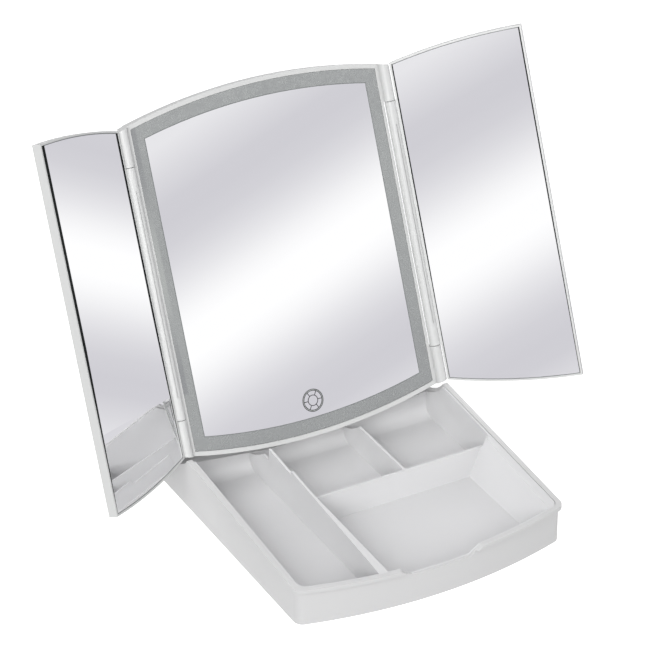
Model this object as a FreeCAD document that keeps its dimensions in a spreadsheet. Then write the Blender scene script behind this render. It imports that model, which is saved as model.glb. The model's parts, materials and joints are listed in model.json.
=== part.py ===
import FreeCAD, Part
import math
import os
import re

# A tri-fold vanity mirror with a light band, on a wedge-shaped organiser base.
# Base frame: X to the right, Y to the back, Z up, origin at the centre of the underside.
# Head frame: x across, y up along the panel, z towards the user with 0 on the front face.
# Wing frame: x away from its hinge, y up along the hinge, z towards the user.

DIMENSIONS = {
    # base shell and its bottom plate
    "base_half_width": 107.6, "base_crown": 144.0, "base_arc": 381.2, "base_corner": 7.0,
    "base_wall": 1.8, "underside": 0.8, "plate_top": 3.0, "rim_height": 41.56, "rim_slope": 4.67,
    "lip_height": 3.0, "lip_proud": 1.9, "notch_top": 33.0, "notch_bottom": 23.5, "notch_depth": 6.0,
    "foot_radius": 6.0, "foot_x": 88.0, "foot_front": 108.0, "foot_rear": 100.0,
    "screw_radius": 1.5, "screw_head": 2.8, "screw_sink": 1.2, "screw_depth": 4.8, "pilot_depth": 5.0,
    "post_radius": 4.0, "post_x": 102.0, "post_y": 117.0, "post_height": 11.0,
    # lengths that clear the whole object, for cutting spaces
    "clear_out": 200.0, "clear_up": 80.0,
    # organiser tray
    "tray_gap": 0.3, "tray_wall": 1.4, "tray_drop": 0.7, "tray_floor": 6.6, "tray_skin": 2.0,
    "tray_back": 76.0, "rear_wall": 55.0, "rear_wall_thick": 2.0, "cove": 9.5, "deck_top": 13.2,
    "well_roof": 57.5, "deck_half": 98.0, "tray_swing": 52.0, "middle_swing": 60.9, "middle_half": 33.0,
    "outer_swing": 52.9,
    "long_divider_x": -46.6, "short_divider_x": 33.0, "cross_divider_y": -34.6,
    "half_divider": 0.95, "pocket_corner": 2.0, "low_top": 30.0, "step_y": -9.6, "step_drop": 3.0,
    "divider_end": 24.5, "scoop_run": 60.0,
    "scoop_left": -27.0, "scoop_right": 88.0, "scoop_left_lean": 31.0, "scoop_right_lean": 22.5,
    # tilt hinge
    "pivot_y": 71.79, "pivot_z": 75.65, "pivot_drop": 79.76, "pivot_back": 19.1, "lean": 22.47,
    "arm_x": 58.0, "arm_half": 6.0, "arm_barrel": 7.0, "arm_under": 6.0, "arm_reach": 57.0,
    "arm_column": 7.2, "arm_foot_front": 104.0, "arm_foot_half": 10.0, "arm_foot_top": 7.0, "arm_corner": 5.0,
    "foot_screw_step": 6.5, "foot_screw_y": 110.0, "pin_reach": 25.0,
    "lug_thick": 4.0, "block_corner": 4.0, "washer_thick": 0.9, "washer_radius": 6.0, "tilt_pin_radius": 2.0,
    "block_half": 13.0, "pin_head": 1.6, "pin_head_thick": 1.4,
    "running_gap": 0.05, "seat_gap": 0.01, "side_swing": 49.5,
    # mirror head
    "head_half_width": 102.4, "head_crown": 134.4, "head_arc": 449.3, "frame_back": 7.2,
    "cover_back": 9.0, "ear_inner": 94.0, "ear_end": 130.0, "glass_front": 0.4, "glass_back": 2.4,
    "band_half_width": 100.0, "band_crown": 130.9, "band_arc": 445.8,
    "mirror_half_width": 90.8, "mirror_crown": 120.8, "mirror_arc": 436.0,
    "channel_outer": 98.4, "channel_inner": 92.6, "channel_back": 5.4, "touch_y": -106.0,
    "touch_radius": 8.0, "strip_inset": 1.2, "strip_thick": 0.4, "chip_half": 1.4, "chip_height": 0.8,
    "chip_span_side": 208.0, "chip_span_end": 150.0, "window_low": 44.0, "window_margin": 6.0,
    "board_left": 34.0, "board_right": 70.0, "board_low": 28.0, "board_high": 4.0, "board_back": 8.0,
    "board_thick": 1.2,
    "housing_half": 78.0, "housing_low": -52.0, "housing_high": 120.0, "housing_back": 15.0,
    "housing_corner": 14.0, "cover_wall": 1.8, "cover_screw_x": 90.0, "cover_screw_y": 112.0,
    "door_thick": 0.85, "door_ledge": 3.0, "grip_half": 9.0, "grip_pitch": 2.5,
    "door_half": 29.0, "door_low": 14.0,
    "door_high": 66.0, "door_corner": 4.0, "cell_radius": 5.2, "cell_length": 44.5, "cell_pitch": 11.6,
    "button_radius": 1.9, "button_length": 1.0, "contact_half": 4.0, "contact_thick": 0.5, "contact_gap": 1.45,
    # wings
    "wing_axis_x": 107.0, "wing_axis_z": 1.0, "wing_angle": 35.5, "knuckle_radius": 4.0,
    "knuckle_half": 93.5, "wing_start": 4.6, "wing_end": 105.4, "wing_crown": 133.2,
    "wing_arc": 448.0, "wing_thick": 6.8, "wing_rim": 1.4, "wing_pin_radius": 1.5,
    "wing_pin_in": 82.5, "wing_pin_out": 110.0, "groove_end": 76.5, "groove_half": 0.4, "groove_depth": 0.8,
    "web_back": 4.0, "adhesive_inset": 9.0,
}
LED_COUNT_SIDE = 12
LED_COUNT_END = 8
CELL_COUNT = 4
SIDES = {"left": -1, "right": 1}

doc = FreeCAD.newDocument("vanity_mirror")
sheet = doc.addObject("Spreadsheet::Sheet", "sheet")
for row, (alias, value) in enumerate(DIMENSIONS.items(), start=1):
    sheet.set(f"A{row}", alias)
    sheet.set(f"B{row}", str(value))
    sheet.setAlias(f"B{row}", alias)
doc.recompute()
nodes = []


# ------------------------------------------------------------ building blocks

def dim(alias):
    """The value of one driving dimension, in millimetres or degrees."""
    return float(sheet.get(alias))


def bind(obj, path, formula):
    """Tie a property to a formula written in the sheet's names."""
    text = re.sub(r"[a-z_]{2,}", lambda word: "sheet." + word[0], str(formula))
    obj.setExpression(path, text)


def place(obj, x, y, z):
    for name, formula in (("x", x), ("y", y), ("z", z)):
        bind(obj, f"Placement.Base.{name}", formula)
    return obj


def box(x0, x1, y0, y1, z0, z1):
    """A box between two corners, each given as a formula."""
    obj = doc.addObject("Part::Box", "box")
    bind(obj, "Length", f"({x1}) - ({x0})")
    bind(obj, "Width", f"({y1}) - ({y0})")
    bind(obj, "Height", f"({z1}) - ({z0})")
    return place(obj, x0, y0, z0)


def rod(radius, length, x, y, z, axis=(0, 0, 1)):
    """A cylinder that starts at a point and runs along an axis."""
    obj = doc.addObject("Part::Cylinder", "rod")
    bind(obj, "Radius", radius)
    bind(obj, "Height", length)
    obj.Placement.Rotation = FreeCAD.Rotation(FreeCAD.Vector(0, 0, 1), FreeCAD.Vector(*axis))
    return place(obj, x, y, z)


def fuse(*shapes):
    obj = doc.addObject("Part::MultiFuse", "fuse")
    obj.Shapes = list(shapes)
    return obj


def common(first, *others):
    """What all the shapes share."""
    for other in others:
        obj = doc.addObject("Part::Common", "common")
        obj.Base = first
        obj.Tool = other
        first = obj
    return first


def cut(base, *tools):
    """The base less every tool."""
    obj = doc.addObject("Part::Cut", "cut")
    obj.Base = base
    obj.Tool = tools[0] if len(tools) == 1 else fuse(*tools)
    return obj


def group(*shapes):
    """Shapes held together, either to move as one or as the like pieces of one sub-part."""
    obj = doc.addObject("Part::Compound", "group")
    obj.Links = list(shapes)
    return obj


def moved(obj, x=0, y=0, z=0, angle=0, axis=(1, 0, 0)):
    """The object turned about an axis through the origin, then carried to a place."""
    holder = group(obj)
    holder.Placement.Rotation = FreeCAD.Rotation(FreeCAD.Vector(*axis), angle)
    return place(holder, x, y, z)


def rounded(obj, radius, wanted):
    """The object with a radius on each edge that the test picks."""
    doc.recompute()
    picked = [i for i, edge in enumerate(obj.Shape.Edges, start=1) if wanted(edge)]
    fillet = doc.addObject("Part::Fillet", "rounded")
    fillet.Base = obj
    fillet.Edges = [(i, dim(radius), dim(radius)) for i in picked]
    return fillet


def upright(edge):
    """True for a straight edge along z."""
    start, end = edge.Vertexes[0].Point, edge.Vertexes[-1].Point
    return abs(start.x - end.x) + abs(start.y - end.y) < 1e-6 < abs(start.z - end.z)


def barrel(half_width, crown, arc, z0, z1, x0=None, x1=None):
    """A plate with straight sides and bowed ends; crown is half its length on the centre line."""
    low = f"-({half_width})" if x0 is None else x0
    high = half_width if x1 is None else x1
    height = f"({z1}) - ({z0})"
    block = box(low, high, f"-({crown}) - 5", f"({crown}) + 5", z0, z1)
    bow_above = rod(arc, height, 0, f"({crown}) - ({arc})", z0)
    bow_below = rod(arc, height, 0, f"({arc}) - ({crown})", z0)
    return common(block, bow_above, bow_below)


def node(name, obj, placement=None):
    """Name a finished sub-part and put it in the base frame."""
    holder = obj
    if placement is not None:
        holder = group(obj)
        holder.Placement = placement
    holder.Label = name
    nodes.append(holder)


def head_placement():
    """The head leans back about the tilt hinge's axis."""
    lean = math.radians(dim("lean"))
    up_y, up_z = math.sin(lean), math.cos(lean)
    origin = FreeCAD.Vector(
        0,
        dim("pivot_y") + dim("pivot_drop") * up_y - dim("pivot_back") * up_z,
        dim("pivot_z") + dim("pivot_drop") * up_z + dim("pivot_back") * up_y,
    )
    return FreeCAD.Placement(origin, FreeCAD.Rotation(FreeCAD.Vector(1, 0, 0), 90 - dim("lean")))


def wing_placement(side):
    """A wing stands on its hinge axis, swung forward from the plane of the head."""
    axis = FreeCAD.Vector(side * dim("wing_axis_x"), 0, dim("wing_axis_z"))
    swing = FreeCAD.Rotation(FreeCAD.Vector(0, 1, 0), -side * dim("wing_angle"))
    return head_placement().multiply(FreeCAD.Placement(axis, swing))


HEAD = head_placement()


# ------------------------------------------------------------ base

def base_block(inset, z0, z1):
    """The base's plan outline, drawn in from the outer wall by an inset."""
    plan = barrel(f"base_half_width - ({inset})", f"base_crown - ({inset})",
                  f"base_arc - ({inset})", z0, z1)
    return rounded(plan, "base_corner", upright)


def above_rim(offset):
    """Everything above the sloping rim plane, moved up by an offset."""
    space = box("-clear_out", "clear_out", "-clear_out", "clear_out", 0, "clear_up")
    return moved(space, 0, 0, f"rim_height + ({offset})", dim("rim_slope"))


def notch():
    """The finger notch in the front rim: a flat dip with sloping ends."""
    run = dim("notch_top") - dim("notch_bottom")
    lean = math.degrees(math.atan2(dim("notch_depth"), run))
    inner_end = "10 - base_crown"
    dip = box("-notch_top - 5", "notch_top + 5", "-clear_out", inner_end, "-notch_depth", "notch_depth")
    right_end = moved(box(0, "clear_up", "-clear_out - 1", f"{inner_end} + 1", "-clear_up", 0),
                      "notch_bottom", 0, "-notch_depth", -lean, (0, 1, 0))
    left_end = moved(box("-clear_up", 0, "-clear_out - 1", f"{inner_end} + 1", "-clear_up", 0),
                     "-notch_bottom", 0, "-notch_depth", lean, (0, 1, 0))
    return moved(cut(dip, right_end, left_end), 0, 0, "rim_height", dim("rim_slope"))


def swing_room(radius, x0, x1):
    """Room for the head's lower corners to pass when the head tilts."""
    return rod(radius, f"({x1}) - ({x0})", x0, "pivot_y", "pivot_z", (1, 0, 0))


def post(side):
    return rod("post_radius", "post_height", side * dim("post_x"), "post_y", "plate_top")


def base_shell():
    wall = base_block(0, "underside", "clear_up")
    lip_space = above_rim("-lip_height")
    lip = common(base_block("-lip_proud", "underside", "clear_up"), lip_space)
    hollow = base_block("base_wall", 0, "clear_up + 1")
    walls = cut(fuse(wall, lip), hollow, above_rim(0), notch(),
                swing_room("side_swing", "-clear_out", "clear_out"))
    pilots = [rod("screw_radius", "post_height + 1", side * dim("post_x"), "post_y", "plate_top - 0.5")
              for side in SIDES.values()]
    return cut(fuse(walls, post(-1), post(1)), *pilots)


def foot_screw_places(side):
    """Where the two screws of one hinge arm's foot stand, across the base."""
    middle = side * dim("arm_x")
    return (middle - dim("foot_screw_step"), middle + dim("foot_screw_step"))


def screw_places():
    """Screws come up through the plate: one in each rear post and two in each hinge arm's foot."""
    places = []
    for side in SIDES.values():
        places.append((side * dim("post_x"), dim("post_y")))
        places += [(x, dim("foot_screw_y")) for x in foot_screw_places(side)]
    return places


def base_plate():
    plate = base_block("base_wall + 0.15", "underside", "plate_top")
    holes = []
    for x, y in screw_places():
        holes.append(rod("screw_radius + 0.1", "plate_top + 1", x, y, 0))
        holes.append(rod("screw_head + 0.2", "screw_sink", x, y, "underside"))
    return cut(plate, *holes)


def base_screws():
    screws = []
    for x, y in screw_places():
        head = rod("screw_head", "screw_sink - 0.15", x, y, "underside + 0.1")
        shank = rod("screw_radius - 0.03", "screw_depth", x, y, "underside + screw_sink - 0.1")
        screws.append(fuse(head, shank))
    return group(*screws)


def rubber_feet():
    feet = [rod("foot_radius", "underside", side * dim("foot_x"), y, 0)
            for side in SIDES.values() for y in ("-foot_front", "foot_rear")]
    return group(*feet)


def tray_pocket(x0, x1, y0):
    """One compartment with upright walls, open to the ramp at the back of the tray."""
    return rounded(box(x0, x1, y0, "tray_back", "tray_floor", "clear_up"), "pocket_corner", upright)


def scoop_pocket():
    """The wide front compartment, whose two ends slope so that small things slide out."""
    front = "-clear_out"
    rear = "cross_divider_y - half_divider"
    block = box("scoop_left", "scoop_right", front, rear, "tray_floor", "clear_up")
    left_end = moved(box(0, "scoop_run", front, rear, 0, "clear_up"),
                     "scoop_left", 0, "tray_floor", -dim("scoop_left_lean"), (0, 1, 0))
    right_end = moved(box("-scoop_run", 0, front, rear, 0, "clear_up"),
                      "scoop_right", 0, "tray_floor", dim("scoop_right_lean"), (0, 1, 0))
    limit = box("long_divider_x + half_divider", "clear_out", front, "cross_divider_y", "tray_floor",
                "clear_up")
    return common(fuse(block, left_end, right_end), limit)


def rear_deck():
    """The back of the tray: a wall coved into the floor, then a flat deck under the mirror."""
    wall = box("-clear_out", "clear_out", "rear_wall", "rear_wall + rear_wall_thick", 0, "clear_up")
    deck = box("-clear_out", "clear_out", "rear_wall", "clear_out", 0, "deck_top")
    corner = box("-clear_out", "clear_out", "rear_wall - cove", "rear_wall", 0, "tray_floor + cove")
    hollow = rod("cove", "2 * clear_out", "-clear_out", "rear_wall - cove", "tray_floor + cove", (1, 0, 0))
    return fuse(wall, deck, cut(corner, hollow))


def taper(side):
    """Room that narrows towards the side, as the curved lower edge of the head does."""
    obj = doc.addObject("Part::Cone", "taper")
    bind(obj, "Radius1", "middle_swing")
    bind(obj, "Radius2", "outer_swing")
    bind(obj, "Height", "deck_half - middle_half")
    obj.Placement.Rotation = FreeCAD.Rotation(FreeCAD.Vector(0, 0, 1), FreeCAD.Vector(side, 0, 0))
    return place(obj, f"{side} * middle_half", "pivot_y", "pivot_z")


def edge_room():
    """Room over the tray for the mirror's lower edge to pass when the head tilts."""
    return fuse(swing_room("middle_swing", "-middle_half", "middle_half"),
                swing_room("tray_swing", "-clear_out", "clear_out"), taper(-1), taper(1))


def organizer_tray():
    outside = base_block("base_wall + tray_gap", "plate_top", "clear_up")
    behind = box("-clear_out", "clear_out", "tray_back", "clear_out", 0, "clear_up + 1")
    block = cut(outside, behind, above_rim("-tray_drop"))
    inside = base_block("base_wall + tray_gap + tray_wall", "plate_top", "clear_up + 1")
    side_wall = "base_half_width - base_wall - tray_wall - 1"
    pockets = fuse(
        tray_pocket("-clear_out", "long_divider_x - half_divider", "-clear_out"),
        tray_pocket("long_divider_x + half_divider", "short_divider_x - half_divider",
                    "cross_divider_y + half_divider"),
        tray_pocket("short_divider_x + half_divider", "clear_out", "cross_divider_y + half_divider"),
        scoop_pocket(),
    )
    low_dividers = box("long_divider_x + half_divider", side_wall, "cross_divider_y - 2", "clear_out",
                       "low_top", "clear_up + 1")
    low_back = box(f"-({side_wall})", "long_divider_x + 2", "divider_end", "clear_out", "low_top",
                   "clear_up + 1")
    stepped = common(box("long_divider_x - 2", "long_divider_x + 2", "step_y", "clear_out", 0, "clear_up"),
                     above_rim("-tray_drop - step_drop"))
    floor_hollow = base_block("base_wall + tray_gap + 6", 0, "tray_floor - tray_skin")
    deck_hollow = box("-deck_half", "deck_half", "well_roof", "tray_back - tray_skin", 0,
                      "deck_top - tray_skin")
    hollow = fuse(cut(floor_hollow, box("-clear_out", "clear_out", "rear_wall", "clear_out", -1, "clear_up")),
                  deck_hollow)
    return cut(block, cut(common(pockets, inside), rear_deck()), low_dividers, low_back, stepped,
               notch(), edge_room(), hollow)


def hinge_arm(side):
    """A bracket up from the rear of the base and forward to the tilt pin."""
    x0 = f"{side} * arm_x - arm_half"
    x1 = f"{side} * arm_x + arm_half"
    hub = rod("arm_barrel", "2 * arm_half", x0, "pivot_y", "pivot_z", (1, 0, 0))
    beam = moved(box(x0, x1, 0, "arm_reach + arm_column - 1", "-arm_under", "arm_barrel"),
                 0, "pivot_y", "pivot_z", dim("rim_slope"))
    above_beam = moved(box("-clear_out", "clear_out", 0, "clear_out", "arm_barrel", "clear_up"),
                       0, "pivot_y", "pivot_z", dim("rim_slope"))
    rear = "pivot_y + arm_reach + arm_column"
    column = cut(box(x0, x1, "pivot_y + arm_reach", rear, "plate_top", "pivot_z + clear_up / 2"),
                 above_beam)
    foot = box(f"{side} * arm_x - arm_foot_half", f"{side} * arm_x + arm_foot_half",
               "arm_foot_front", f"{rear} - 1", "plate_top", "arm_foot_top")
    bracket = rounded(fuse(hub, beam, column, foot), "arm_corner", rear_top_edge)
    bore = rod("tilt_pin_radius + running_gap", "2 * pin_reach", f"{side} * arm_x - pin_reach",
               "pivot_y", "pivot_z", (1, 0, 0))
    pilots = [rod("screw_radius", "pilot_depth", x, "foot_screw_y", "plate_top - 0.5")
              for x in foot_screw_places(side)]
    return cut(bracket, bore, *pilots)


def rear_top_edge(edge):
    """True for the edge along the top of a hinge arm's column."""
    centre = edge.CenterOfMass
    across = abs(edge.Vertexes[0].Point.x - edge.Vertexes[-1].Point.x) > 1
    return across and centre.z > dim("pivot_z") + 3 and centre.y > dim("pivot_y") + dim("arm_reach")


# ------------------------------------------------------------ mirror head

def front_frame():
    ring = cut(
        barrel("head_half_width", "head_crown", "head_arc", "-frame_back", 0),
        barrel("band_half_width + 0.2", "band_crown + 0.2", "band_arc + 0.2", "-clear_up", "clear_up"),
    )
    outline = barrel("wing_axis_x + knuckle_radius + 1", "head_crown", "head_arc", "-clear_up",
                     "clear_up")
    ears = []
    bores = []
    for side in SIDES.values():
        x = side * dim("wing_axis_x")
        inner = side * (dim("head_half_width") - 1)
        for low, high in (("ear_inner", "ear_end"), ("-ear_end", "-ear_inner")):
            ears.append(box(min(x, inner), max(x, inner), low, high, "-frame_back", 0))
            ears.append(rod("knuckle_radius", "ear_end - ear_inner", x, low, "wing_axis_z",
                            (0, 1, 0)))
        bores.append(rod("wing_pin_radius + seat_gap", "2 * wing_pin_out", x, "-wing_pin_out",
                         "wing_axis_z", (0, 1, 0)))
    return cut(fuse(ring, common(fuse(*ears), outline)), *bores)


def band_plate(z0, z1):
    return barrel("band_half_width", "band_crown", "band_arc", z0, z1)


def mirror_plate(grow, z0, z1):
    return barrel(f"mirror_half_width + ({grow})", f"mirror_crown + ({grow})",
                  f"mirror_arc + ({grow})", z0, z1)


def centre_mirror():
    return mirror_plate(0, "-glass_back", "-glass_front")


def light_diffuser():
    return cut(band_plate("-glass_back", "-glass_front"), mirror_plate(0.05, "-clear_up", "clear_up"))


def channel_plate(outer, z0, z1):
    return barrel(outer, f"band_crown - band_half_width + {outer}",
                  f"band_arc - band_half_width + {outer}", z0, z1)


def reflector():
    """The white backing plate: it carries the glass and the trough for the light strip."""
    plate = band_plate("-frame_back + 0.1", "-glass_back - 0.05")
    trough = cut(channel_plate("channel_outer", "-channel_back", 0),
                 channel_plate("channel_inner", "-clear_up", "clear_up"))
    window = box("-door_half - window_margin", "board_right + 2", "-window_low",
                 "door_high + window_margin", "-clear_up", "clear_up")
    touch_pocket = rod("touch_radius + 1", 1, 0, "touch_y", "-glass_back - 0.6")
    return cut(plate, trough, window, touch_pocket, *cover_pilots())


def led_strip():
    """A flexible strip round the trough with its light chips."""
    strip = cut(channel_plate("channel_outer - strip_inset", "-channel_back + 0.05",
                              "-channel_back + 0.05 + strip_thick"),
                channel_plate("channel_inner + strip_inset", "-clear_up", "clear_up"))
    middle = (dim("channel_outer") + dim("channel_inner")) / 2
    places = []
    for i in range(LED_COUNT_SIDE):
        y = dim("chip_span_side") * (i / (LED_COUNT_SIDE - 1) - 0.5)
        places += [(middle, y), (-middle, y)]
    crown = dim("band_crown") - dim("band_half_width") + middle
    arc = dim("band_arc") - dim("band_half_width") + middle
    for i in range(LED_COUNT_END):
        x = dim("chip_span_end") * (i / (LED_COUNT_END - 1) - 0.5)
        y = crown - arc + math.sqrt(arc * arc - x * x)
        places += [(x, y), (x, -y)]
    low = "-channel_back + 0.05 + strip_thick"
    chips = [box(f"{x} - chip_half", f"{x} + chip_half", f"{y} - chip_half", f"{y} + chip_half",
                 low, f"{low} + chip_height") for x, y in places]
    return group(strip, *chips)


def housing(inset, z0, z1):
    block = box(f"-housing_half + {inset}", f"housing_half - {inset}", f"housing_low + {inset}",
                f"housing_high - {inset}", z0, z1)
    return rounded(block, "housing_corner", upright)


def door_outline(gap, z0, z1):
    return rounded(box(f"-door_half - ({gap})", f"door_half + ({gap})", f"door_low - ({gap})",
                       f"door_high + ({gap})", z0, z1), "door_corner", upright)


def back_cover():
    plate = barrel("head_half_width", "head_crown", "head_arc", "-cover_back", "-frame_back - 0.02")
    raised = housing(0, "-housing_back", "-frame_back - 0.02")
    inner = housing("cover_wall", "-housing_back + cover_wall", 0)
    opening = door_outline("-2", "-housing_back - 1", 0)
    seat = door_outline("0.2", "-housing_back - 1", "-housing_back + door_thick + 0.05")
    ledge = door_outline("1.5", "-housing_back", "-housing_back + door_ledge")
    return cut(fuse(cut(fuse(plate, raised), inner), ledge), opening, seat, *cover_pilots())


def cover_screw_places():
    return [(side * dim("cover_screw_x"), step * dim("cover_screw_y"))
            for side in SIDES.values() for step in (-1, 0, 1)]


def cover_pilots():
    return [rod("screw_radius", "pilot_depth + 1", x, y, "-cover_back - 1")
            for x, y in cover_screw_places()]


def cover_screws():
    screws = []
    for x, y in cover_screw_places():
        head = rod("screw_head", 1, x, y, "-cover_back - 1.02")
        shank = rod("screw_radius - 0.03", "screw_depth / 2", x, y, "-cover_back - 0.1")
        screws.append(fuse(head, shank))
    return group(*screws)


def battery_door():
    """The lid over the cells, with a row of grip ribs."""
    panel = door_outline("0", "-housing_back", "-housing_back + door_thick")
    ribs = [box("-grip_half", "grip_half", f"door_high - 1 - {i} * grip_pitch", f"door_high - {i} * grip_pitch",
                "-housing_back - 0.5", "-housing_back + 0.2") for i in (3, 4, 5)]
    return fuse(panel, *ribs)


def cell_rows():
    """The height of each cell's axis on the head, lowest first."""
    middle = (dim("door_low") + dim("door_high")) / 2
    return [middle + dim("cell_pitch") * (i - (CELL_COUNT - 1) / 2) for i in range(CELL_COUNT)]


def batteries():
    """Round cells side by side, each with its button at the other end from its neighbour's."""
    cells = []
    depth = "cell_radius - housing_back + cover_wall + 0.3"
    for i, y in enumerate(cell_rows()):
        can = rod("cell_radius", "cell_length - button_length", "(button_length - cell_length) / 2", y,
                  depth, (1, 0, 0))
        tip = "-cell_length / 2 - button_length / 2" if i % 2 else "cell_length / 2 - button_length"
        button = rod("button_radius", "button_length * 1.5", tip, y, depth, (1, 0, 0))
        cells.append(fuse(can, button))
    return group(*cells)


def battery_contacts():
    """A spring plate and a flat plate at the ends of each cell."""
    plates = []
    low = "-housing_back + cover_wall + 0.1"
    for y in cell_rows():
        for x in ("-cell_length / 2 - contact_gap - contact_thick", "cell_length / 2 + contact_gap"):
            plates.append(box(x, f"{x} + contact_thick", f"{y} - contact_half", f"{y} + contact_half",
                              low, f"{low} + 2 * contact_half"))
    return group(*plates)


def driver_board():
    """The control board behind the mirror, with its driver chip, switch chip and connector."""
    board = box("board_left", "board_right", "-board_low", "board_high", "-board_back",
                "-board_back + board_thick")
    parts = [board]
    for x, y, width, height, rise in ((6, 8, 6, 6, 1.4), (18, 16, 5, 4, 1.2), (26, 4, 7, 10, 3.5)):
        left = f"board_left + {x}"
        low = f"{y} - board_low"
        parts.append(box(left, f"{left} + {width}", low, f"{low} + {height}", f"-board_back - {rise}",
                         "-board_back"))
    parts.append(rod(3, 2.8, "board_left + 11", "board_high - 7", "-board_back - 2.8"))
    return fuse(*parts)


def touch_sensor():
    """The copper pad behind the touch mark, low on the centre mirror."""
    return rod("touch_radius", 0.2, 0, "touch_y", "-glass_back - 0.25")


def hinge_block(side):
    """A foot on the back cover with two lugs that hold the tilt pin."""
    centre = f"{side} * arm_x"
    reach = "(arm_half + washer_thick + 0.15)"
    foot = box(f"{centre} - {reach} - lug_thick - 3", f"{centre} + {reach} + lug_thick + 3",
               "-pivot_drop - block_half", "-pivot_drop + block_half", "-cover_back - 2",
               "-cover_back - 0.01")
    pieces = [rounded(foot, "block_corner", upright)]
    for low in (f"{centre} - {reach} - lug_thick", f"{centre} + {reach}"):
        pieces.append(box(low, f"{low} + lug_thick", "-pivot_drop - arm_barrel",
                          "-pivot_drop + arm_barrel", "-pivot_back", "-cover_back - 1"))
        pieces.append(rod("arm_barrel", "lug_thick", low, "-pivot_drop", "-pivot_back", (1, 0, 0)))
    bore = rod("tilt_pin_radius + seat_gap", "2 * pin_reach", f"{centre} - pin_reach", "-pivot_drop",
               "-pivot_back", (1, 0, 0))
    return cut(fuse(*pieces), bore)


def tilt_pin(side):
    """The steel pin on which the head tilts, with a head at its outer end."""
    half = "arm_half + washer_thick + lug_thick + 0.3"
    shank = rod("tilt_pin_radius", f"2 * ({half})", f"{side} * arm_x - ({half})", "-pivot_drop",
                "-pivot_back", (1, 0, 0))
    outer = f"{side} * arm_x + {side} * ({half})"
    head_x = outer if side > 0 else f"{outer} - pin_head_thick"
    head = rod("tilt_pin_radius + pin_head", "pin_head_thick", head_x, "-pivot_drop", "-pivot_back",
               (1, 0, 0))
    return fuse(shank, head)


def friction_washers():
    """A washer each side of each hinge arm: their grip holds the mirror at its angle."""
    washers = []
    for side in SIDES.values():
        for step in ("-arm_half - 0.07 - washer_thick", "arm_half + 0.07"):
            disc = rod("washer_radius", "washer_thick", f"{side} * arm_x + {step}", "-pivot_drop",
                       "-pivot_back", (1, 0, 0))
            hole = rod("tilt_pin_radius + seat_gap", "2 * pin_reach", f"{side} * arm_x - pin_reach",
                       "-pivot_drop", "-pivot_back", (1, 0, 0))
            washers.append(cut(disc, hole))
    return group(*washers)


# ------------------------------------------------------------ wings

def wing_plate(side, inset, z0, z1):
    """Half the barrel outline, in the wing's own frame and drawn in by an inset."""
    near = f"wing_axis_x - wing_start - ({inset})"
    far = f"wing_axis_x - wing_end + ({inset})"
    x0, x1 = (f"-({near})", f"-({far})") if side > 0 else (far, near)
    plate = barrel(0, f"wing_crown - ({inset})", f"wing_arc - ({inset})", z0, z1, x0, x1)
    return moved(plate, f"{side} * wing_axis_x")


def wing_frame(side):
    plate = wing_plate(side, 0, "-wing_thick", 0)
    glass_recess = wing_plate(side, "wing_rim", "-glass_back - 0.2", "clear_up")
    back_recess = wing_plate(side, "wing_rim + 0.6", "-clear_up", "-glass_back - 1.4")
    web_x = side * (dim("wing_start") + 1)
    web = box(min(0, web_x), max(0, web_x), "-knuckle_half", "knuckle_half", "-web_back", 0)
    knuckle = rod("knuckle_radius", "2 * knuckle_half", 0, "-knuckle_half", 0, (0, 1, 0))
    bores = [rod("wing_pin_radius + running_gap", "clear_out", 0, low, 0, (0, 1, 0))
             for low in ("wing_pin_in - 1", "1 - wing_pin_in - clear_out")]
    slot = box("-groove_half", "groove_half", "-groove_end", "groove_end",
               "knuckle_radius - groove_depth", "2 * knuckle_radius")
    groove = moved(slot, 0, 0, 0, side * dim("wing_angle"), (0, 1, 0))
    return cut(fuse(cut(plate, glass_recess, back_recess), web, knuckle), groove, *bores)


def wing_mirror(side):
    return wing_plate(side, "wing_rim + 0.12", "-glass_back + 0.1", "-glass_front + 0.1")


def wing_adhesive(side):
    return wing_plate(side, "adhesive_inset", "-glass_back - 0.18", "-glass_back + 0.08")


def wing_back(side):
    return wing_plate(side, "wing_rim + 0.75", "-wing_thick", "-glass_back - 1.45")


def wing_pins(side):
    """The two pins that hang a wing from the ears of the front frame."""
    x = f"{side} * wing_axis_x"
    length = "wing_pin_out - wing_pin_in"
    return group(rod("wing_pin_radius", length, x, "wing_pin_in", "wing_axis_z", (0, 1, 0)),
                 rod("wing_pin_radius", length, x, "-wing_pin_out", "wing_axis_z", (0, 1, 0)))


# ------------------------------------------------------------ assembly

node("base_shell", base_shell())
node("base_plate", base_plate())
node("base_screws", base_screws())
node("rubber_feet", rubber_feet())
node("organizer_tray", organizer_tray())

HEAD_PARTS = {
    "front_frame": front_frame, "centre_mirror": centre_mirror, "light_diffuser": light_diffuser,
    "reflector": reflector, "led_strip": led_strip, "back_cover": back_cover,
    "cover_screws": cover_screws, "battery_door": battery_door, "batteries": batteries,
    "battery_contacts": battery_contacts, "driver_board": driver_board,
    "touch_sensor": touch_sensor, "friction_washers": friction_washers,
}
for name, make in HEAD_PARTS.items():
    node(name, make(), HEAD)

for name, side in SIDES.items():
    node(f"{name}_hinge_arm", hinge_arm(side))
    node(f"{name}_hinge_block", hinge_block(side), HEAD)
    node(f"{name}_tilt_pin", tilt_pin(side), HEAD)
    node(f"{name}_wing_pins", wing_pins(side), HEAD)
    wing = wing_placement(side)
    node(f"{name}_wing_frame", wing_frame(side), wing)
    node(f"{name}_wing_mirror", wing_mirror(side), wing)
    node(f"{name}_wing_adhesive", wing_adhesive(side), wing)
    node(f"{name}_wing_back", wing_back(side), wing)

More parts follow.
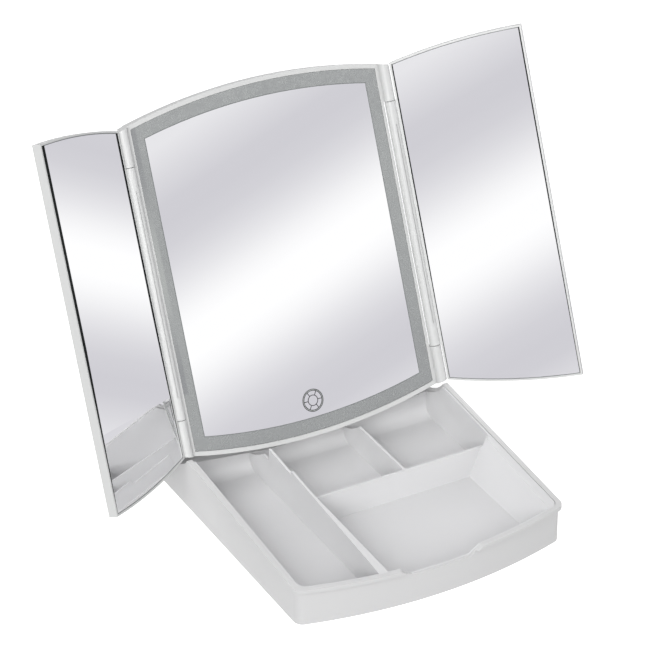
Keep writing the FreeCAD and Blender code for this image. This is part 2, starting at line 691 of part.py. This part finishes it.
doc.recompute()
for obj in doc.Objects:
    if {"Invalid", "Error"} & set(obj.State):
        raise RuntimeError(f"{obj.Name} ({obj.Label}) did not compute: {obj.State}")
os.makedirs("parts", exist_ok=True)
for obj in nodes:
    if obj.Shape.isNull() or not obj.Shape.isValid() or not obj.Shape.Solids:
        raise RuntimeError(f"{obj.Label} has no valid solid")
    obj.Shape.exportStep(f"parts/{obj.Label}.step")
    print(f"{obj.Label:20s} solids {len(obj.Shape.Solids):3d} volume {obj.Shape.Volume / 1000:8.2f} cm3")
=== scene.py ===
import json
import math

import bmesh
import bpy
from mathutils import Matrix, Vector


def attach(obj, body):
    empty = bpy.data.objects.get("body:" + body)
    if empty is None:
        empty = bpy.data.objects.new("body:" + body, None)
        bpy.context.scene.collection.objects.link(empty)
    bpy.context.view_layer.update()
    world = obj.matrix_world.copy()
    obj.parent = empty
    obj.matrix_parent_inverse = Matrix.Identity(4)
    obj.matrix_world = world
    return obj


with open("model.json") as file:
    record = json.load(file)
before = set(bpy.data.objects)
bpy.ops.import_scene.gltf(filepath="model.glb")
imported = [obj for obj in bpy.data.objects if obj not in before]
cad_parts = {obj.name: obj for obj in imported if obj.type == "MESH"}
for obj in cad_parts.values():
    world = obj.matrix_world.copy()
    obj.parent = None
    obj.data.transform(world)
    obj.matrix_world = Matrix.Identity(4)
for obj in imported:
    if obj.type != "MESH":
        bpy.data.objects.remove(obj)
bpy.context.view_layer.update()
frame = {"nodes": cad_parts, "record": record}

# ---------------------------------------------------------------- view

AZIMUTH = math.radians(-29.05)
ELEVATION = math.radians(31.12)
AIM = Vector((0.0073, 0.0386, 0.1221))
DISTANCE = 2.3336
LENS = 177.8
SENSOR = 36
FARTHEST = 50


def make_camera():
    """A long lens, looking down on the mirror from its left front."""
    data = bpy.data.cameras.new("camera")
    data.lens = LENS
    data.sensor_width = SENSOR
    data.clip_end = FARTHEST
    camera = bpy.data.objects.new("camera", data)
    back = Vector((math.sin(AZIMUTH) * math.cos(ELEVATION),
                   -math.cos(AZIMUTH) * math.cos(ELEVATION), math.sin(ELEVATION)))
    right = Vector((math.cos(AZIMUTH), math.sin(AZIMUTH), 0))
    turn = Matrix((right, back.cross(right), back)).transposed().to_4x4()
    camera.matrix_world = Matrix.Translation(AIM + DISTANCE * back) @ turn
    bpy.context.collection.objects.link(camera)
    bpy.context.scene.camera = camera


# ---------------------------------------------------------------- materials

NOISE_LOW = 0.3
NOISE_HIGH = 0.7


def new_material(name):
    """A material, its node tree and its main shader."""
    material = bpy.data.materials.new(name)
    material.use_nodes = True
    nodes = material.node_tree.nodes
    return material, material.node_tree, nodes["Principled BSDF"]


def noise(tree, scale, detail=3.0):
    """A noise value in the object's own space."""
    source = tree.nodes.new("ShaderNodeTexCoord")
    texture = tree.nodes.new("ShaderNodeTexNoise")
    texture.inputs["Scale"].default_value = scale
    texture.inputs["Detail"].default_value = detail
    tree.links.new(source.outputs["Object"], texture.inputs["Vector"])
    return texture.outputs["Fac"]


def spread(tree, value, low, high):
    """A noise value, which mostly stays in its usual range, stretched between two numbers."""
    node = tree.nodes.new("ShaderNodeMapRange")
    node.inputs["From Min"].default_value = NOISE_LOW
    node.inputs["From Max"].default_value = NOISE_HIGH
    node.inputs["To Min"].default_value = low
    node.inputs["To Max"].default_value = high
    tree.links.new(value, node.inputs["Value"])
    return node.outputs["Result"]


def tint(tree, value, first, second):
    """A colour that a value moves from the first to the second."""
    node = tree.nodes.new("ShaderNodeMix")
    node.data_type = "RGBA"
    node.inputs["A"].default_value = (*first, 1)
    node.inputs["B"].default_value = (*second, 1)
    tree.links.new(value, node.inputs["Factor"])
    return node.outputs["Result"]


def shade(colour, factor):
    return tuple(channel * factor for channel in colour)


def bump(tree, shader, height, strength, distance):
    """Fine relief on a shader, from a height value."""
    node = tree.nodes.new("ShaderNodeBump")
    node.inputs["Strength"].default_value = strength
    node.inputs["Distance"].default_value = distance
    tree.links.new(height, node.inputs["Height"])
    tree.links.new(node.outputs["Normal"], shader.inputs["Normal"])


def moulded_plastic(name, colour, roughness):
    """Moulded plastic: a faint cloudiness in its colour and gloss, and a very fine spark grain."""
    material, tree, shader = new_material(name)
    cloud = noise(tree, 14.0)
    tree.links.new(tint(tree, cloud, shade(colour, 0.975), colour), shader.inputs["Base Color"])
    tree.links.new(spread(tree, noise(tree, 60.0), roughness * 0.88, roughness * 1.12),
                   shader.inputs["Roughness"])
    shader.inputs["Specular IOR Level"].default_value = 0.5
    bump(tree, shader, noise(tree, 900.0, 2.0), 0.05, 0.0002)
    return material


def mirror_glass(name):
    """Silvered glass: a clear, slightly cool reflection with a trace of haze."""
    material, tree, shader = new_material(name)
    tree.links.new(tint(tree, noise(tree, 6.0), (0.945, 0.945, 0.955), (0.955, 0.955, 0.96)),
                   shader.inputs["Base Color"])
    shader.inputs["Metallic"].default_value = 1.0
    tree.links.new(spread(tree, noise(tree, 30.0), 0.0, 0.012), shader.inputs["Roughness"])
    return material


def frosted_band(name):
    """Etched mirror over an unlit light trough: grey, with a blurred reflection and fine frosting."""
    material, tree, shader = new_material(name)
    cloud = noise(tree, 22.0)
    tree.links.new(tint(tree, cloud, (0.345, 0.357, 0.352), (0.395, 0.409, 0.402)),
                   shader.inputs["Base Color"])
    shader.inputs["Metallic"].default_value = 0.85
    tree.links.new(spread(tree, noise(tree, 260.0), 0.20, 0.30), shader.inputs["Roughness"])
    bump(tree, shader, noise(tree, 2500.0, 2.0), 0.04, 0.0001)
    return material


def brushed_metal(name, colour, roughness):
    """Plain or plated metal with a fine unevenness."""
    material, tree, shader = new_material(name)
    shader.inputs["Metallic"].default_value = 1.0
    tree.links.new(tint(tree, noise(tree, 300.0), shade(colour, 0.9), colour),
                   shader.inputs["Base Color"])
    tree.links.new(spread(tree, noise(tree, 500.0), roughness * 0.8, roughness * 1.2),
                   shader.inputs["Roughness"])
    return material


def dull(name, colour, roughness, gloss=0.5):
    """Rubber, foam, wrap or board: dull, with a little unevenness."""
    material, tree, shader = new_material(name)
    tree.links.new(tint(tree, noise(tree, 120.0), shade(colour, 0.85), colour),
                   shader.inputs["Base Color"])
    shader.inputs["Roughness"].default_value = roughness
    shader.inputs["Specular IOR Level"].default_value = gloss
    bump(tree, shader, noise(tree, 800.0), 0.1, 0.0002)
    return material


WHITE = (0.515, 0.515, 0.515)
MATERIALS = {
    "shell_white": moulded_plastic("shell_white", WHITE, 0.38),
    "tray_white": moulded_plastic("tray_white", (0.565, 0.565, 0.57), 0.48),
    "frame_white": moulded_plastic("frame_white", (0.49, 0.495, 0.49), 0.36),
    "mirror_glass": mirror_glass("mirror_glass"),
    "diffuser": frosted_band("diffuser"),
    "reflector_white": moulded_plastic("reflector_white", (0.85, 0.85, 0.84), 0.7),
    "led_strip": dull("led_strip", (0.85, 0.83, 0.66), 0.5),
    "steel": brushed_metal("steel", (0.62, 0.62, 0.63), 0.3),
    "rubber": dull("rubber", (0.05, 0.05, 0.05), 0.8),
    "cell": dull("cell", (0.05, 0.07, 0.12), 0.35),
    "contact": brushed_metal("contact", (0.78, 0.74, 0.6), 0.35),
    "board": dull("board", (0.03, 0.16, 0.07), 0.45),
    "copper": brushed_metal("copper", (0.8, 0.45, 0.28), 0.35),
    "foam": dull("foam", (0.12, 0.12, 0.12), 0.95),
    "washer": dull("washer", (0.06, 0.06, 0.065), 0.5),
}
# Painted shade: a near-black strip that stands in for the shaded gap between each wing's glass and its
# frame.
PAINTED_SHADE = dull("painted_gap_shade", (0.012, 0.014, 0.014), 0.6, 0.03)
EDGE_GREY = dull("edge_grey", (0.16, 0.17, 0.17), 0.3)
MARK_LINE = dull("mark_line", (0.03, 0.03, 0.032), 0.6, 0.1)
MARK_FILL = dull("mark_fill", (0.42, 0.44, 0.43), 0.6)


def dress_nodes():
    """Every CAD node takes the procedural material of its own slot."""
    for part in frame["record"]["subparts"]:
        obj = frame["nodes"][part["node"]]
        obj.data.materials.clear()
        obj.data.materials.append(MATERIALS[part["material_slot"]])


# ---------------------------------------------------------------- glass

UP = Vector(next(j for j in frame["record"]["behaviour"]["joints"]
                 if j["name"] == "left_wing_fold")["axis"])
PANEL_NORMAL = Vector((1, 0, 0)).cross(UP)
SAME_LEVEL = 0.0001
SAME_SIDE = 0.0002


class Pane:
    """The front face of a mirror: its middle, its directions and its outline."""

    def __init__(self, node):
        mesh = frame["nodes"][node].data
        facing = [face for face in mesh.polygons if face.normal.dot(PANEL_NORMAL) > 0.5]
        self.normal = max(facing, key=lambda face: face.area).normal.copy()
        self.across = UP.cross(self.normal).normalized()
        level = max(vertex.co.dot(self.normal) for vertex in mesh.vertices)
        points = [vertex.co for vertex in mesh.vertices if vertex.co.dot(self.normal) > level - SAME_LEVEL]
        across = [point.dot(self.across) for point in points]
        along = [point.dot(UP) for point in points]
        self.half_width = (max(across) - min(across)) / 2
        self.middle = (self.across * (max(across) + min(across)) / 2
                       + UP * (max(along) + min(along)) / 2 + self.normal * level)
        self.points = points

    def at(self, x, y, z=0.0):
        """A point given across, up and out from the middle of the glass."""
        return self.middle + self.across * x + UP * y + self.normal * z

    def matrix(self):
        turn = Matrix((self.across, UP, self.normal)).transposed().to_4x4()
        return Matrix.Translation(self.middle) @ turn

    def outline(self):
        """The corners of the outline in order, as positions across and up."""
        flat = [((point - self.middle).dot(self.across), (point - self.middle).dot(UP))
                for point in self.points]
        unique = {(round(x, 6), round(y, 6)) for x, y in flat}
        return sorted(unique, key=lambda point: math.atan2(point[1], point[0]))


EDGE_THICK = 0.00006
EDGE_WIDTH = 0.0005


def flat_piece(name, pane, faces, thick, body, material):
    """A thin raised piece on a pane, from polygons drawn across and up its face."""
    mesh = bmesh.new()
    for outline in faces:
        mesh.faces.new([mesh.verts.new((x, y, 0.0)) for x, y in outline])
    bmesh.ops.remove_doubles(mesh, verts=mesh.verts, dist=1e-6)
    bmesh.ops.recalc_face_normals(mesh, faces=mesh.faces)
    raised = bmesh.ops.extrude_face_region(mesh, geom=mesh.faces[:])
    lifted = [item for item in raised["geom"] if isinstance(item, bmesh.types.BMVert)]
    bmesh.ops.translate(mesh, verts=lifted, vec=(0, 0, thick))
    bmesh.ops.recalc_face_normals(mesh, faces=mesh.faces)
    data = bpy.data.meshes.new(name)
    mesh.to_mesh(data)
    mesh.free()
    data.transform(pane.matrix())
    data.materials.append(material)
    piece = bpy.data.objects.new(name, data)
    bpy.context.collection.objects.link(piece)
    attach(piece, body)


def drawn_in(outline, width):
    """The outline moved in by a width, corner by corner."""
    inner = []
    count = len(outline)
    for i, (x, y) in enumerate(outline):
        x0, y0 = outline[i - 1]
        x1, y1 = outline[(i + 1) % count]
        before = Vector((x - x0, y - y0)).normalized()
        after = Vector((x1 - x, y1 - y)).normalized()
        side = Vector((-before.y - after.y, before.x + after.x)).normalized()
        reach = width / max(side.dot(Vector((-before.y, before.x))), 0.5)
        inner.append((x + side.x * reach, y + side.y * reach))
    return inner


def glass_edge(name, pane, body):
    """The thin line that the edge of silvered glass shows all round a pane."""
    outer = pane.outline()
    inner = drawn_in(outer, EDGE_WIDTH)
    count = len(outer)
    faces = []
    for i in range(count):
        j = (i + 1) % count
        faces.append([outer[i], outer[j], inner[j], inner[i]])
    flat_piece(name, pane, faces, EDGE_THICK, body, EDGE_GREY)


def ring(radius, width, steps=72):
    """A flat ring about the origin, as quads."""
    turns = [2 * math.pi * i / steps for i in range(steps + 1)]
    rim = [(math.cos(a), math.sin(a)) for a in turns]
    return [[(c0 * radius, s0 * radius), (c1 * radius, s1 * radius),
             (c1 * (radius - width), s1 * (radius - width)),
             (c0 * (radius - width), s0 * (radius - width))]
            for (c0, s0), (c1, s1) in zip(rim, rim[1:])]


def spoke(angle, inner, outer, width):
    """A flat bar that runs outwards from the origin, between two radii."""
    along = Vector((math.cos(angle), math.sin(angle)))
    side = Vector((-along.y, along.x)) * width / 2
    corners = (along * inner - side, along * outer - side, along * outer + side, along * inner + side)
    return [tuple(corner) for corner in corners]


MARK_RADIUS = 0.0086
MARK_BAND = 0.0015
MARK_HUB = 0.0042
MARK_SPOKES = 6
MARK_DROP = 0.108
MARK_LINE_WIDTH = 0.00055


def lowered(faces):
    """The faces moved from the middle of the glass to the touch mark's place."""
    return [[(x, y - MARK_DROP) for x, y in face] for face in faces]


def touch_mark(pane):
    """The round touch mark etched low on the centre mirror: a double ring, a hub ring and six spokes."""
    fill = ring(MARK_RADIUS - MARK_LINE_WIDTH, MARK_BAND - 2 * MARK_LINE_WIDTH)
    lines = ring(MARK_RADIUS, MARK_LINE_WIDTH)
    lines += ring(MARK_RADIUS - MARK_BAND + MARK_LINE_WIDTH, MARK_LINE_WIDTH)
    lines += ring(MARK_HUB, MARK_LINE_WIDTH)
    for i in range(MARK_SPOKES):
        angle = 2 * math.pi * i / MARK_SPOKES
        lines.append(spoke(angle, MARK_HUB, MARK_RADIUS - MARK_BAND, MARK_LINE_WIDTH))
    flat_piece("touch_mark_fill", pane, lowered(fill), EDGE_THICK * 0.6, "head", MARK_FILL)
    flat_piece("touch_mark_lines", pane, lowered(lines), EDGE_THICK, "head", MARK_LINE)


CENTRE = Pane("centre_mirror")
WINGS = {"left": Pane("left_wing_mirror"), "right": Pane("right_wing_mirror")}


# How wide the painted gap shade is at its foot, as a share of its width, and how far up the narrow part
# goes.
FOOT_SHARE = 0.15
NARROW_SHARE = 0.1


def shade_strip(name, pane, body, side, width):
    """A near-black strip of painted shade along one upright side of the glass, standing in for the shaded
    gap between glass and frame; it narrows towards its foot.
    """
    upright = [y for x, y in pane.outline() if x * side > pane.half_width - SAME_SIDE]
    top, foot = max(upright), min(upright)
    bend = foot * NARROW_SHARE
    rim = side * pane.half_width
    inner = rim - side * width
    narrow = rim - side * width * FOOT_SHARE
    faces = [[(rim, foot), (narrow, foot), (inner, bend), (rim, bend)],
             [(rim, bend), (inner, bend), (inner, top), (rim, top)]]
    flat_piece(name, pane, faces, EDGE_THICK * 1.5, body, PAINTED_SHADE)


# The side that each wing's hinge is on, and how wide the painted shade of the gap beside its glass is
# there and along its free side.
SHADE_WIDTHS = {"left": (1, 0.0022, 0.0036), "right": (-1, 0.0008, 0.0009)}


def finish_glass():
    """The etched mark and the edges of the three mirrors, with painted gap shade along the wings' upright
    sides.
    """
    glass_edge("centre_glass_edge", CENTRE, "head")
    touch_mark(CENTRE)
    for name, (hinge, hinge_width, free_width) in SHADE_WIDTHS.items():
        pane = WINGS[name]
        body = f"{name}_wing"
        glass_edge(f"{name}_glass_edge", pane, body)
        # Painted shade of the gap along the hinge side and the free side of the wing's glass.
        shade_strip(f"{name}_hinge_shade", pane, body, hinge, hinge_width)
        shade_strip(f"{name}_free_shade", pane, body, -hinge, free_width)


# ---------------------------------------------------------------- studio

FLOOR_SIZE = 30
DOME_RADIUS = 14
WORLD_LIGHT = 0.42


def soft_light(name, location, target, size, power):
    """A square soft box, turned towards its target."""
    data = bpy.data.lights.new(name, "AREA")
    data.size = size
    data.energy = power
    light = bpy.data.objects.new(name, data)
    light.location = location
    aim = Vector(target) - Vector(location)
    light.rotation_euler = aim.to_track_quat("-Z", "Y").to_euler()
    bpy.context.collection.objects.link(light)


# How bright a card is from the middle of its light stripe (0) outwards (1 is the stripe's foot).
STRIPE = ((0.0, 1.0), (0.12, 1.0), (0.24, 0.956), (0.36, 0.89), (0.5, 0.80), (0.66, 0.712),
          (0.82, 0.65), (1.0, 0.624), (1.15, 0.63), (1.35, 0.70), (1.6, 0.80))
STRIPE_REACH = 1.6
STRIPE_DARK = 0.624
GLASS_LOSS = 0.95


def stripe_ramp(tree):
    """The stripe's colours: cooler where they are darker, and brighter by what the glass loses."""
    ramp = tree.nodes.new("ShaderNodeValToRGB")
    while len(ramp.color_ramp.elements) < len(STRIPE):
        ramp.color_ramp.elements.new(0.5)
    for element, (distance, level) in zip(ramp.color_ramp.elements, STRIPE):
        cool = (1 - level) / (1 - STRIPE_DARK)
        colour = (level, level - 0.007 * cool, level + 0.030 * cool)
        element.position = distance / STRIPE_REACH
        element.color = (*shade(colour, 1 / GLASS_LOSS), 1)
    return ramp


def arithmetic(tree, operation, value, number=0.0):
    """A value put through one step of arithmetic with a number."""
    node = tree.nodes.new("ShaderNodeMath")
    node.operation = operation
    node.inputs[1].default_value = number
    tree.links.new(value, node.inputs[0])
    return node.outputs[0]


def card_material(name, direction, middle, half_width):
    """A pale card with one soft light stripe, seen only from its front."""
    material = bpy.data.materials.new(name)
    material.use_nodes = True
    tree = material.node_tree
    tree.nodes.clear()
    place = tree.nodes.new("ShaderNodeTexCoord")
    along = tree.nodes.new("ShaderNodeVectorMath")
    along.operation = "DOT_PRODUCT"
    along.inputs[1].default_value = (*direction, 0)
    tree.links.new(place.outputs["Object"], along.inputs[0])
    away = arithmetic(tree, "SUBTRACT", along.outputs["Value"], middle)
    distance = arithmetic(tree, "ABSOLUTE", away)
    share = arithmetic(tree, "DIVIDE", distance, half_width * STRIPE_REACH)
    ramp = stripe_ramp(tree)
    glow = tree.nodes.new("ShaderNodeEmission")
    clear = tree.nodes.new("ShaderNodeBsdfTransparent")
    side = tree.nodes.new("ShaderNodeNewGeometry")
    mix = tree.nodes.new("ShaderNodeMixShader")
    out = tree.nodes.new("ShaderNodeOutputMaterial")
    tree.links.new(share, ramp.inputs["Fac"])
    tree.links.new(ramp.outputs["Color"], glow.inputs["Color"])
    tree.links.new(side.outputs["Backfacing"], mix.inputs["Fac"])
    tree.links.new(glow.outputs[0], mix.inputs[1])
    tree.links.new(clear.outputs[0], mix.inputs[2])
    tree.links.new(mix.outputs[0], out.inputs["Surface"])
    return material


def reflection_card(name, middle, normal, up, size, direction, stripe, half_width):
    """A card that only a reflection sees."""
    across = up.cross(normal).normalized()
    high = normal.cross(across)
    width, height = size[0] / 2, size[1] / 2
    data = bpy.data.meshes.new(name)
    corners = [(-width, -height, 0), (width, -height, 0), (width, height, 0), (-width, height, 0)]
    data.from_pydata(corners, [], [(0, 1, 2, 3)])
    data.materials.append(card_material(name, direction, stripe, half_width))
    card = bpy.data.objects.new(name, data)
    turn = Matrix((across, high, normal)).transposed().to_4x4()
    card.matrix_world = Matrix.Translation(middle) @ turn
    bpy.context.collection.objects.link(card)
    card.visible_camera = False
    card.visible_diffuse = False
    card.visible_shadow = False
    card.visible_transmission = False


def reflected(pane, eye):
    """The way that a look at the middle of the glass is turned."""
    look = (pane.middle - eye).normalized()
    return look - 2 * look.dot(pane.normal) * pane.normal


CARD_DISTANCE = 1.2
CARD_SIZE = (0.9, 0.75)
LEFT_CARD_SIZE = (0.134, 0.21)


def make_cards():
    """What the three mirrors show: pale grey cards with a soft light stripe, as in a photo tent."""
    eye = bpy.context.scene.camera.matrix_world.translation
    upward = Vector((0, 0, 1))
    for name, pane, direction, stripe, half_width in (
            ("centre_card", CENTRE, (-0.241, -0.970), 0.0190, 0.125),
            ("right_card", WINGS["right"], (-0.584, -0.811), 0.0275, 0.131)):
        way = reflected(pane, eye)
        middle = pane.middle + way * CARD_DISTANCE
        reflection_card(name, middle, -way, upward, CARD_SIZE, direction, stripe, half_width)
    pane = WINGS["left"]
    reflection_card("left_card", pane.at(-0.003, 0.027, 0.008), -pane.normal, UP, LEFT_CARD_SIZE,
                    (0.356, -0.935), -0.0118, 0.0795)
    reflection_card("left_far_card", Vector((0.25, 0.0, 0.05)), Vector((-1, 0, 0)), upward, (0.5, 0.1),
                    (0.0, 1.0), -0.13, 0.13)


def make_floor():
    """A white floor that stays white under the mirror's soft shadow and doesn't light the mirror."""
    material, tree, shader = new_material("floor")
    shader.inputs["Roughness"].default_value = 0.95
    tree.links.new(tint(tree, noise(tree, 2.0), (0.58, 0.58, 0.58), (0.6, 0.6, 0.6)),
                   shader.inputs["Base Color"])
    shader.inputs["Emission Color"].default_value = (1, 1, 1, 1)
    shader.inputs["Emission Strength"].default_value = 0.72
    bpy.ops.mesh.primitive_plane_add(size=FLOOR_SIZE)
    floor = bpy.context.object
    floor.name = "floor"
    floor.data.materials.append(material)
    floor.visible_diffuse = False


def make_backdrop():
    """A white dome behind everything, which neither lights the mirror nor shades it."""
    bpy.ops.mesh.primitive_uv_sphere_add(radius=DOME_RADIUS)
    dome = bpy.context.object
    dome.name = "backdrop"
    material, _, shader = new_material("backdrop")
    shader.inputs["Base Color"].default_value = (0, 0, 0, 1)
    shader.inputs["Emission Color"].default_value = (1, 1, 1, 1)
    shader.inputs["Emission Strength"].default_value = 1.0
    dome.data.materials.append(material)
    dome.visible_diffuse = False
    dome.visible_glossy = False
    dome.visible_transmission = False
    dome.visible_shadow = False


def make_studio():
    """The floor, the backdrop, the lights and the cards."""
    make_floor()
    make_backdrop()
    world = bpy.data.worlds.new("studio")
    bpy.context.scene.world = world
    world.use_nodes = True
    background = world.node_tree.nodes["Background"]
    background.inputs["Color"].default_value = (0.98, 0.98, 1.0, 1)
    background.inputs["Strength"].default_value = WORLD_LIGHT
    soft_light("key", (-1.42, -1.66, 1.40), (0, 0, 0.08), 1.5, 69)
    soft_light("fill", (1.3, -1.8, 0.9), (0, 0, 0.05), 1.5, 15)
    soft_light("top", (0.2, 0.3, 2.4), (0, 0, 0), 2.0, 8)
    soft_light("rear", (-1.3, 2.0, 0.8), (0, 0, 0.1), 1.6, 26)
    make_cards()


bpy.context.scene.view_settings.view_transform = "Standard"
make_camera()
dress_nodes()
finish_glass()
make_studio()
